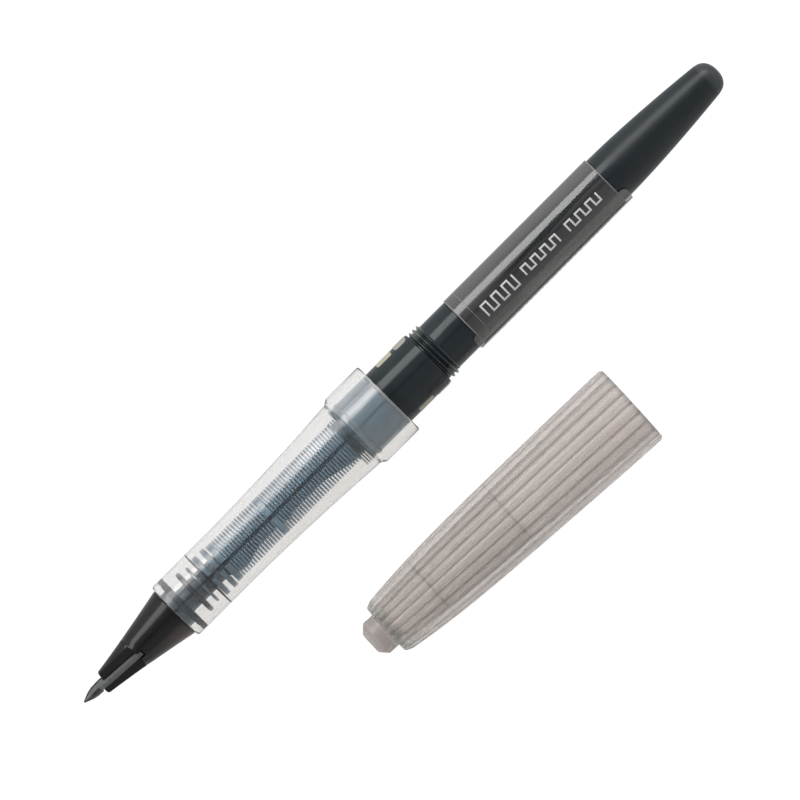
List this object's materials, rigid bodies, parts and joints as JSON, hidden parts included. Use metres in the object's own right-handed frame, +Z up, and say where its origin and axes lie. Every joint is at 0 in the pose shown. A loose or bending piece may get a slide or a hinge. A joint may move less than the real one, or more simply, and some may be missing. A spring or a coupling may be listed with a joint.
{
  "type": "calligraphy marker",
  "caption": "Calligraphy marker writing unit with a sprung pointed nib, clear finned grip, dark ink reservoir with screw thread, and a loose fluted cap.",
  "frame": {"origin": "middle of the base of the box round the pen and its cap, on the surface they lie on", "axes": "+X along the pen from nib to tail, +Y from the cap's side to the pen's side, +Z up"},
  "size_m": [0.1132, 0.0336, 0.0116],
  "materials": {
    "nib_plastic": "moulded, fine grained, dark grey",
    "jet_plastic": "moulded, satin black-brown",
    "slate_plastic": "moulded, slate grey",
    "feed_fibre": "bonded fibre, ink soaked",
    "clear_plastic": "clear, faintly milky, polished",
    "ivory_plastic": "moulded, ivory",
    "smoke_plastic": "smoke-dark, glossy",
    "ink": "black ink",
    "film": "clear grey shrink film, glossy",
    "cap_plastic": "warm grey, translucent, moulded"
  },
  "bodies": {
    "pen": {"nib_holder": "jet_plastic", "front_ring": "slate_plastic", "baffle_ring": "slate_plastic", "stop_ring": "slate_plastic", "seal_washer": "slate_plastic", "feed_rod": "feed_fibre", "collector": "slate_plastic", "section_shell": "clear_plastic", "rear_seal_ring": "ivory_plastic", "reservoir": "smoke_plastic", "reservoir_plug": "slate_plastic", "ink_charge": "ink", "lock_lug_left": "ivory_plastic", "lock_lug_right": "ivory_plastic", "label_film": "film"},
    "nib": {"nib": "nib_plastic"},
    "cap": {"cap_shell": "cap_plastic", "inner_cap": "cap_plastic"}
  },
  "joints": [
    {"name": "nib_flex", "type": "hinge", "parent": "pen", "child": "nib", "pos_m": [-0.0471, 0.01132, 0.00556], "axis": [0, 0.9397, 0.342], "range_deg": [-2, 2], "stiffness_Nm_per_rad": 0.3},
    {"name": "cap_slide", "type": "slide", "parent": "pen", "child": "cap", "axis": [-0.9819, 0.1894, 0], "range_m": [0, 0.1179]}
  ]
}
